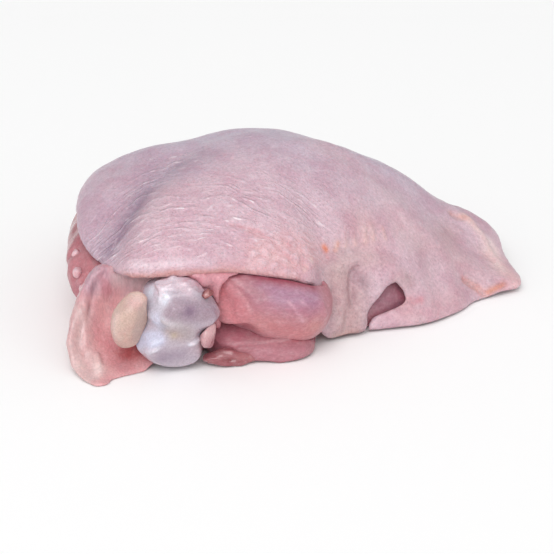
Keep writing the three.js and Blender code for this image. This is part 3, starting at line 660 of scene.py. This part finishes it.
crease = [(-45.5, -28.3, 21.2), (-43.1, -26.8, 23.3), (-41.6, -25.2, 24.8)]
valley = [(-43.1, -26.8, 23.3), (-40.9, -24.5, 25.2), (-38.5, -18.9, 27.9), (-35.5, -11.0, 30.7),
          (-32.2, -6.3, 32.9), (-27.7, -2.8, 35.1)]
front_edge = [(-41.9, -35.2, 21.2), (-37.3, -37.8, 21.5), (-32.8, -39.0, 22.0), (-27.9, -38.8, 22.8),
              (-21.8, -38.3, 22.8), (-15.5, -37.0, 22.4), (-8.5, -35.8, 21.4), (-3.0, -34.8, 20.2),
              (0.4, -33.5, 19.1)]
fat_roll = [(-37.0, -36.4, 23.8), (-32.2, -37.8, 24.3), (-26.2, -37.8, 24.8), (-20.7, -37.0, 24.9),
            (-14.0, -35.6, 24.3)]
fat_lumps = [(-8.1, -33.3, 24.8), (-4.1, -32.6, 23.6), (0.4, -30.8, 22.6), (3.2, -27.3, 22.6),
             (-2.0, -30.6, 25.8)]
corner_crease = [(2.3, -18.1, 29.1), (3.5, -21.5, 24.7), (4.4, -23.5, 20.6), (5.4, -26.6, 16.6)]
curtain_groove = [(14.0, -20.4, 16.0), (12.9, -21.4, 15.0), (12.6, -23.0, 11.8), (13.0, -23.8, 8.0)]
veins = [
    [(-15.1, -29.3, 30.7), (-9.0, -29.3, 29.0), (-5.7, -30.4, 26.8), (-3.2, -31.4, 24.5),
     (-0.3, -32.0, 21.8)],
    [(-11.6, -29.9, 29.2), (-5.9, -30.6, 27.0)],
    [(-3.4, -29.6, 26.6), (1.0, -29.6, 23.8), (1.2, -30.8, 21.2)],
    [(3.4, -25.4, 23.0), (6.0, -22.6, 21.4), (6.8, -22.6, 19.0)],
]
scallops = [[low, low + Vector((lean, rise, rise * 0.9))] for low, lean, rise in (
    (Vector((8.8, -20.9, 21.0)), -0.4, 1.6),
    (Vector((11.0, -19.4, 21.0)), -0.2, 2.2),
    (Vector((13.4, -17.6, 20.8)), -0.8, 2.0),
    (Vector((15.8, -15.8, 20.6)), -0.2, 2.6),
    (Vector((17.8, -14.2, 20.6)), -1.0, 2.8),
    (Vector((20.8, -12.6, 20.2)), -0.6, 2.0),
)]
tail_ridge = [(42.2, 17.8, 13.2), (43.6, 17.0, 12.2), (46.1, 15.5, 9.3), (48.0, 12.6, 6.4),
              (49.6, 9.4, 4.6)]
tail_crease = [(40.8, -3.2, 5.3), (44.1, -2.5, 2.8), (45.8, -3.2, 1.6)]

# The lumps of fat are rounded cells, and the gaps between them are sunk and pink.
lumps = np.clip(near(at, fat_lumps, 4.6) * 1.2, 0, 1)
loose = near(at, [(37, 12, 14.5), (45, 17, 11), (46, 8, 8)], 7)
cells = np.zeros(len(at))
cell_wide, cell_deep = 3.0, 2.2
noise.seed_set(7)
for i in np.where((lumps > 0.05) & (out[:, 2] > -0.2))[0]:
    p = Vector(at[i])
    p += 1.6 * noise.noise_vector(p / 2.5)
    far = noise.voronoi(Vector((p.x / cell_wide, p.y / cell_deep, p.z / cell_deep)))[0]
    cells[i] = min(1.0, (far[1] - far[0]) * 2.2)
push(skin, above * (
    0.3 * uneven(at, 10.0) + 0.12 * uneven(at, 4.0, 7)
    + lumps * (0.55 * (cells - 0.4) + 0.25 * uneven(at, 1.5, 12))
    + loose * 0.4 * uneven(at * (0.5, 1, 1), 2.4, 9)
    + folds(at, [
        (crease, 0.8, -1.1),
        (valley, 1.8, -0.3),
        (fat_roll, 1.7, 0.3),
        (curtain_groove, 0.9, -1.3),
        ([(11.6, -24.6, 6.0), (11.2, -25.2, 2.6)], 1.0, -0.7),
        ([(9.0, -23.9, 14.4), (10.2, -24.6, 10.0), (9.0, -26.2, 4.0)], 1.4, 0.55),
        ([(14.6, -21.6, 10.4), (15.6, -21.9, 7.0), (14.2, -23.6, 2.6)], 1.5, 0.55),
        ([(7.4, -24.2, 15.8), (7.0, -26.0, 9.0), (6.6, -27.2, 2.0)], 0.7, -0.4),
        ([(8.7, -22.4, 18.0), (14.0, -18.8, 17.6), (20.5, -15.2, 15.6), (24.2, -16.4, 12.4)], 1.5, 0.7),
        ([(19.0, -18.6, 12.8), (22.4, -17.6, 11.4)], 1.2, 0.4),
        ([(7.0, -22.2, 20.0), (14.5, -17.9, 18.9), (22.9, -13.2, 17.0)], 0.9, -0.4),
        ([(24.5, -17.3, 6.6), (26.5, -18.5, 4.9), (29.5, -17.6, 3.8)], 1.2, -0.7),
        ([(22.8, -20.4, 1.5), (28.0, -19.4, 1.8)], 1.6, 0.5),
        (tail_ridge, 1.5, 0.7),
        ([(38.2, 9.6, 12.6), (42.0, 6.5, 9.4)], 3.0, -0.6),
        ([(30.0, -4.0, 15.4), (32.5, -10.0, 9.0), (34.0, -14.0, 4.4)], 3.0, -0.4),
        ([(34.5, -2.0, 12.8), (37.6, -7.6, 6.6), (39.5, -10.5, 3.0)], 2.6, 0.4),
        (tail_crease, 0.8, -0.8),
        ([(47.2, 0.8, 3.4), (50.6, 0.2, 2.4)], 0.9, -0.5),
        ([(38.9, 16.2, 14.7), (41.6, 16.6, 13.4)], 0.9, -0.6),
    ])
    + folds(at, [(path, 0.35, -0.25) for path in veins])
    + folds(at, [(path, 0.7, 0.4) for path in scallops])
    + near(at, front_edge, 1.8) * 0.5 * uneven(at * (1, 1, 0.3), 2.2, 17)
))

at, _ = surface(skin)
paint(skin, (208, 177, 188), [
    ((200, 184, 201), [(-40, 20, 30), (-20, 15, 37), (0, 12, 38), (20, 20, 31)], 20, 1.0),
    ((210, 182, 193), [(8, 5.7, 35.5), (18, 2, 31), (28, 2, 24)], 8, 0.8),
    ((198, 170, 186), [(-50, -1.5, 26.7), (-48.8, -21.3, 23.4), (-43.7, -11, 29.2)], 7, 0.9),
    # painted shade: the valley darker and greyer
    ((184, 158, 174), valley, 6.0, 0.8),
    ((157, 134, 153), valley, 2.4, 0.9),
    ((190, 167, 184), [(-32.2, -6.3, 32.9), (-24.8, -11, 36.2), (-21.8, -1.1, 37.5)], 4.5, 0.8),
    ((184, 158, 175), (-35.0, 0.7, 33.5), 7, 0.8),
    # painted shade: a dark line in the crease
    ((138, 112, 126), crease, 0.6, 0.8),
    ((206, 174, 185), [(-32, -36, 25), (-22, -35, 27), (-11, -33.5, 27)], 4.5, 0.9),
    # painted highlight: a pale streak along the fat roll
    ((219, 196, 205), fat_roll[:4], 1.1, 0.9),
    ((206, 156, 162), [(-17, -36.6, 23.6), (-12, -35.8, 22.4)], 1.5, 0.7),
    ((206, 154, 152), front_edge, 0.9, 1.1),
    ((221, 184, 191), fat_lumps, 5.0, 0.8),
    ((208, 168, 172), scallops[3], 5.5, 0.7),
    ((190, 158, 160), [(10, -23, 16), (12, -25, 4)], 5.5, 1.1),
    ((200, 168, 170), [(9.4, -23.7, 14.0), (10.0, -24.8, 10.0), (9.4, -26.0, 3.0)], 1.4, 0.7),
    # painted shade: dark in the curtain's groove
    ((158, 124, 136), [(14.0, -20.4, 16.0), (12.9, -21.4, 15.0), (12.6, -22.9, 11.8), (13.0, -23.6, 8.6)],
     0.75, 0.9),
    ((204, 174, 178), [(10, -21.4, 17.8), (17, -17, 16.6), (21, -15, 15.4)], 1.8, 1.0),
    # painted shade: the right pillar's top beside the groove
    ((166, 134, 143), [(13.8, -20.8, 14.6), (15.2, -20.8, 12.2)], 1.5, 0.9),
    ((192, 160, 166), [(23.5, -17.0, 12.0), (26, -15.6, 11.0)], 2.2, 0.9),
    ((208, 122, 130), [(25.6, -17.0, 6.6), (27.2, -17.4, 5.8), (29.4, -16.8, 6.2)], 0.8, 0.8),
    ((190, 154, 142), [(8.9, -26.8, 1.0), (14, -24.2, 0.9)], 1.2, 0.7),
    ((201, 166, 175), [(30, -4, 14), (36, 0, 12), (44, 0, 6)], 6, 0.9),
    # painted shadow in the dent of the tail
    ((203, 172, 178), [(38.2, 9.6, 12.6), (36, 5, 13)], 3.4, 0.9),
    ((198, 152, 158), [(25.0, -17.6, 6.2), (27, -18.5, 4.6)], 1.8, 0.9),
    ((206, 168, 176), [(29, -17.6, 2.6), (38, -11, 3)], 5, 0.8),
    ((224, 192, 198), (24.5, -5.0, 20.4), 6, 0.7),
    ((214, 180, 187), (39.8, 0.4, 9.0), 4, 0.7),
    ((228, 194, 194), [(48, 10, 5.4), (52, 4, 3.5), (54, 1.4, 2.5)], 3.2, 0.9),
    ((226, 196, 194), tail_ridge, 1.2, 1.0),
    ((212, 146, 126), tail_crease + [(50.6, -0.1, 2.8)], 0.9, 0.9),
    ((232, 206, 204), [(48.6, 11.4, 5.6), (50.6, 7.6, 4.0)], 1.8, 0.9),
    ((236, 210, 210), [(48.4, 15.4, 7.0), (49.9, 14.4, 5.7), (51.2, 11.0, 4.6)], 1.6, 0.9),
    ((206, 158, 150), [(38.9, 16.2, 14.7), (43.4, 17.4, 12.7)], 0.9, 0.9),
    # painted highlights: small pale glints on the fat lumps
    ((234, 208, 208), [(-1.8, -32.4, 22.4), (-0.4, -31.8, 22.2)], 0.6, 0.8),
    ((236, 210, 206), [(1.5, -31.4, 20.4), (2.0, -30.6, 20.9)], 0.6, 0.9),
    ((236, 212, 206), [(3.1, -28.5, 21.1), (3.4, -27.8, 21.9)], 0.6, 0.9),
    ((230, 200, 204), [(-6.3, -32.7, 24.6), (-4.8, -32.6, 23.8)], 0.6, 0.7),
    ((228, 146, 116), [(6.0, -22.2, 22.2), (6.3, -21.9, 21.2)], 0.75, 1.1),
    ((216, 152, 134), [(8.6, -21.0, 20.8), (9.3, -19.9, 22.0)], 0.6, 0.8),
] + [((206, 142, 148), path, 0.4, 0.7) for path in veins]
  + [((220, 184, 180), path, 0.6, 0.7) for path in scallops])
# Two layers for the finish: "relief" says where the wrinkles, the gaps and the crepe are, and "flow"
# holds places in mm whose second value stays the same along a wrinkle.
wrinkled_front = [(-38, -29, 26), (-28, -28, 31), (-14, -25, 32), (-2, -23, 29)]
wrinkled = np.clip(near(at, wrinkled_front, 9.5) + near(at, valley, 6) + 0.1, 0, 1)
keep(skin, "relief", np.stack([wrinkled * above, lumps * above * (1 - cells), near(at, valley, 5.0)], 1))
level = 0.913 * at[:, 2] + 0.407 * at[:, 1] + 0.014 * (at[:, 0] + 22) ** 2
level += 0.016 * np.minimum(0, at[:, 0] + 31) ** 2
level += 1.6 * uneven(at, 9.0, 21) + 0.5 * uneven(at, 3.2, 23)
keep(skin, "flow", np.stack([at[:, 0], level, at[:, 1]], 1))

# The crease where the front turns into the curtain is eased.
corner = skin.vertex_groups.new(name="corner")
for i, weight in enumerate(near(at, corner_crease, 3.6)):
    if weight > 0.02:
        corner.add([i], min(1.0, 1.4 * weight), "REPLACE")
eased = skin.modifiers.new("eased", "SMOOTH")
eased.factor, eased.iterations, eased.vertex_group = 0.5, 160, "corner"
bpy.context.view_layer.objects.active = skin
bpy.ops.object.modifier_apply(modifier="eased")

# At the back the hem is cut unevenly: it slides up and down over the meat.
outward = at - (0, 5, -12)
outward /= np.linalg.norm(outward, axis=1)[:, None]
slide = np.array([0, 0, -1.0]) + outward[:, 2:3] * outward
behind = np.clip((at[:, 1] - 0.3 * at[:, 0] + 2) / 8, 0, 1) * np.clip((30 - at[:, 2]) / 8, 0, 1)
hem = behind * (0.9 * uneven(at * (1, 1, 0), 6.0, 41) + 0.5 * uneven(at * (1, 1, 0), 2.4, 43))
settle(skin, surface(skin)[0] + hem[:, None] * slide)
grab(skin, [
    ((4.4, -28.6, 17.0), 2.6, (-0.4, 0.6, 1.6)),
    ([(22.6, -20.8, 1.0), (22.8, -20.0, 3.0)], 3.0, (-5.8, -0.8, 0)),
    ((24.8, -16.8, 10.3), 2.2, (0.6, -0.4, -0.5)),
    ([(-54.0, -6, 20.0), (-52.6, -16, 19.4), (-50.6, -23, 18.8)], 3.0, (1.6, 0.2, 0.3)),
])

# The skin's finish adds wrinkles, a crepe of finer ones in the valley, and pores.
skin_finish = tissue("skin", blotch=6, deep=0.5, pale=0.3, wet=0.36, dull=0.52, grain=0.9, relief=0.07,
                     film=0.15, soak=0.15)
tree = skin_finish.node_tree
shader = tree.nodes["Principled BSDF"]
relief = tree.nodes.new("ShaderNodeAttribute")
relief.attribute_name = "relief"
parts = tree.nodes.new("ShaderNodeSeparateColor")
feed(tree, parts.inputs[0], relief.outputs["Color"])
wrinkle_zone, lump_gaps, crepe_zone = parts.outputs
flow = tree.nodes.new("ShaderNodeAttribute")
flow.attribute_name = "flow"
flow_parts = tree.nodes.new("ShaderNodeSeparateXYZ")
feed(tree, flow_parts.inputs[0], flow.outputs["Vector"])


def wrinkles(spacing, wander, dash, sharp):
    """Wrinkles every `spacing` mm that wander by some mm, in dashes; sharp is how narrow they are."""
    sway = clouds(tree, scaled(tree, flow.outputs["Vector"], (0.1, 0.22, 0)), 1.0, 3.0)
    across = maths(tree, "ADD", flow_parts.outputs["Y"], maths(tree, "MULTIPLY", sway, wander))
    turn = maths(tree, "MULTIPLY", across, 2 * math.pi / spacing)
    wave = maths(tree, "POWER", maths(tree, "MULTIPLY_ADD", maths(tree, "SINE", turn), 0.5, 0.5), sharp)
    broken = clouds(tree, scaled(tree, flow.outputs["Vector"], dash), 1.0, 2.0)
    return maths(tree, "MULTIPLY", wave, ramp(tree, broken, 0.4, 0.6))


main_wrinkles = maths(tree, "MULTIPLY", wrinkles(1.5, 5.5, (0.26, 0.7, 0), 1.6), wrinkle_zone)
crepe = maths(tree, "MULTIPLY", wrinkles(0.7, 4.0, (0.6, 1.2, 0), 1.2), crepe_zone)
pores = tree.nodes.new("ShaderNodeTexVoronoi")
pores.feature = "SMOOTH_F1"
feed(tree, pores.inputs["Vector"], scaled(tree, flow.outputs["Vector"], (0.42, 0.42, 0.42)))
bumps = ramp(tree, pores.outputs["Distance"], 0.05, 0.32, 0.45, 0.0)
wrinkle_height = maths(tree, "MULTIPLY_ADD", crepe, 0.35, maths(tree, "ADD", main_wrinkles, bumps))
wrinkle_bump = tree.nodes.new("ShaderNodeBump")
feed(tree, wrinkle_bump.inputs["Distance"], 0.00024)
feed(tree, wrinkle_bump.inputs["Height"], wrinkle_height)
feed(tree, wrinkle_bump.inputs["Normal"], tree.nodes["relief"].outputs["Normal"])
feed(tree, shader.inputs["Normal"], wrinkle_bump.outputs["Normal"])

# Over the tissue's colour come the pink gaps, the crests painted paler as painted highlights, painted
# glints on them, and the grey crepe.
colour = tree.nodes["colour"].outputs["Colour"]
grooves = blend(tree, maths(tree, "MULTIPLY", lump_gaps, 0.4), colour, (0.62, 0.30, 0.30, 1))
highlit_crests = blend(tree, maths(tree, "MULTIPLY", main_wrinkles, 0.22), grooves, (0.80, 0.66, 0.72, 1))
sparse = clouds(tree, scaled(tree, flow.outputs["Vector"], (0.3, 1.1, 0.3)), 1.0, 2.0)
painted_glint_mask = ramp(tree, sparse, 0.58, 0.66)
painted_glint_share = maths(tree, "MULTIPLY", maths(tree, "MULTIPLY", painted_glint_mask, main_wrinkles), 0.8)
painted_glints = blend(tree, painted_glint_share, highlit_crests, (0.92, 0.80, 0.84, 1))
greyer = blend(tree, maths(tree, "MULTIPLY", crepe, 0.3), painted_glints, (0.36, 0.28, 0.34, 1))
feed(tree, shader.inputs["Base Color"], greyer)
dress(skin, ["skin"], skin_finish)

# ---- Board, light and camera ----------------------------------------------------------------
# A plain white board in a white room that is brighter in front than behind, one wide soft light from
# the upper left front and a small one above. The camera looks at the knee end from 24 degrees up.
bpy.ops.object.select_all(action="DESELECT")
bpy.ops.mesh.primitive_circle_add(vertices=96, radius=2.5, fill_type="NGON", location=(0, 0, -0.0002))
floor = bpy.context.active_object
floor.name = floor.data.name = "board"
white = bpy.data.materials.new("board_white")
white.use_nodes = True
white_shader = white.node_tree.nodes["Principled BSDF"]
white_shader.inputs["Base Color"].default_value = (0.96, 0.96, 0.96, 1)
white_shader.inputs["Roughness"].default_value = 0.7
floor.data.materials.append(white)

scene = bpy.context.scene
scene.view_settings.view_transform = "Standard"
room = bpy.data.worlds.new("room")
scene.world = room
room.use_nodes = True
walls = room.node_tree.nodes["Background"]
around = room.node_tree.nodes.new("ShaderNodeTexCoord").outputs["Generated"]
direction = room.node_tree.nodes.new("ShaderNodeSeparateXYZ")
feed(room.node_tree, direction.inputs[0], around)
in_front, at_the_back = 0.87, 0.45
glow = ramp(room.node_tree, direction.outputs["Y"], -0.8, 0.8, in_front, at_the_back)
feed(room.node_tree, walls.inputs["Color"], (1, 1, 1, 1))
feed(room.node_tree, walls.inputs["Strength"], glow)


def lamp(name, kind, place, aim, strength, spread):
    """A soft light at a place in metres, turned to face aim; spread is its size or its angle."""
    data = bpy.data.lights.new(name, kind)
    data.energy = strength
    if kind == "SUN":
        data.angle = math.radians(spread)
    else:
        data.shape, data.size = "DISK", spread
    light = bpy.data.objects.new(name, data)
    scene.collection.objects.link(light)
    light.location = place
    light.rotation_mode = "QUATERNION"
    light.rotation_quaternion = (Vector(aim) - Vector(place)).to_track_quat("-Z", "Y")


lamp("soft_daylight", "SUN", (-0.08, -0.75, 0.75), (0, 0, 0), 1.45, 40)
lamp("softbox", "AREA", (-0.10, -0.22, 0.52), (-0.01, -0.01, 0.02), 0.22, 0.16)

elevation = 24
camera = bpy.data.objects.new("camera", bpy.data.cameras.new("camera"))
scene.collection.objects.link(camera)
camera.location = (-0.00477, -0.41132, 0.18778)
camera.rotation_euler = (math.radians(90 - elevation), 0, 0)
camera.data.lens = 119.9
camera.data.clip_start = 0.01
scene.camera = camera
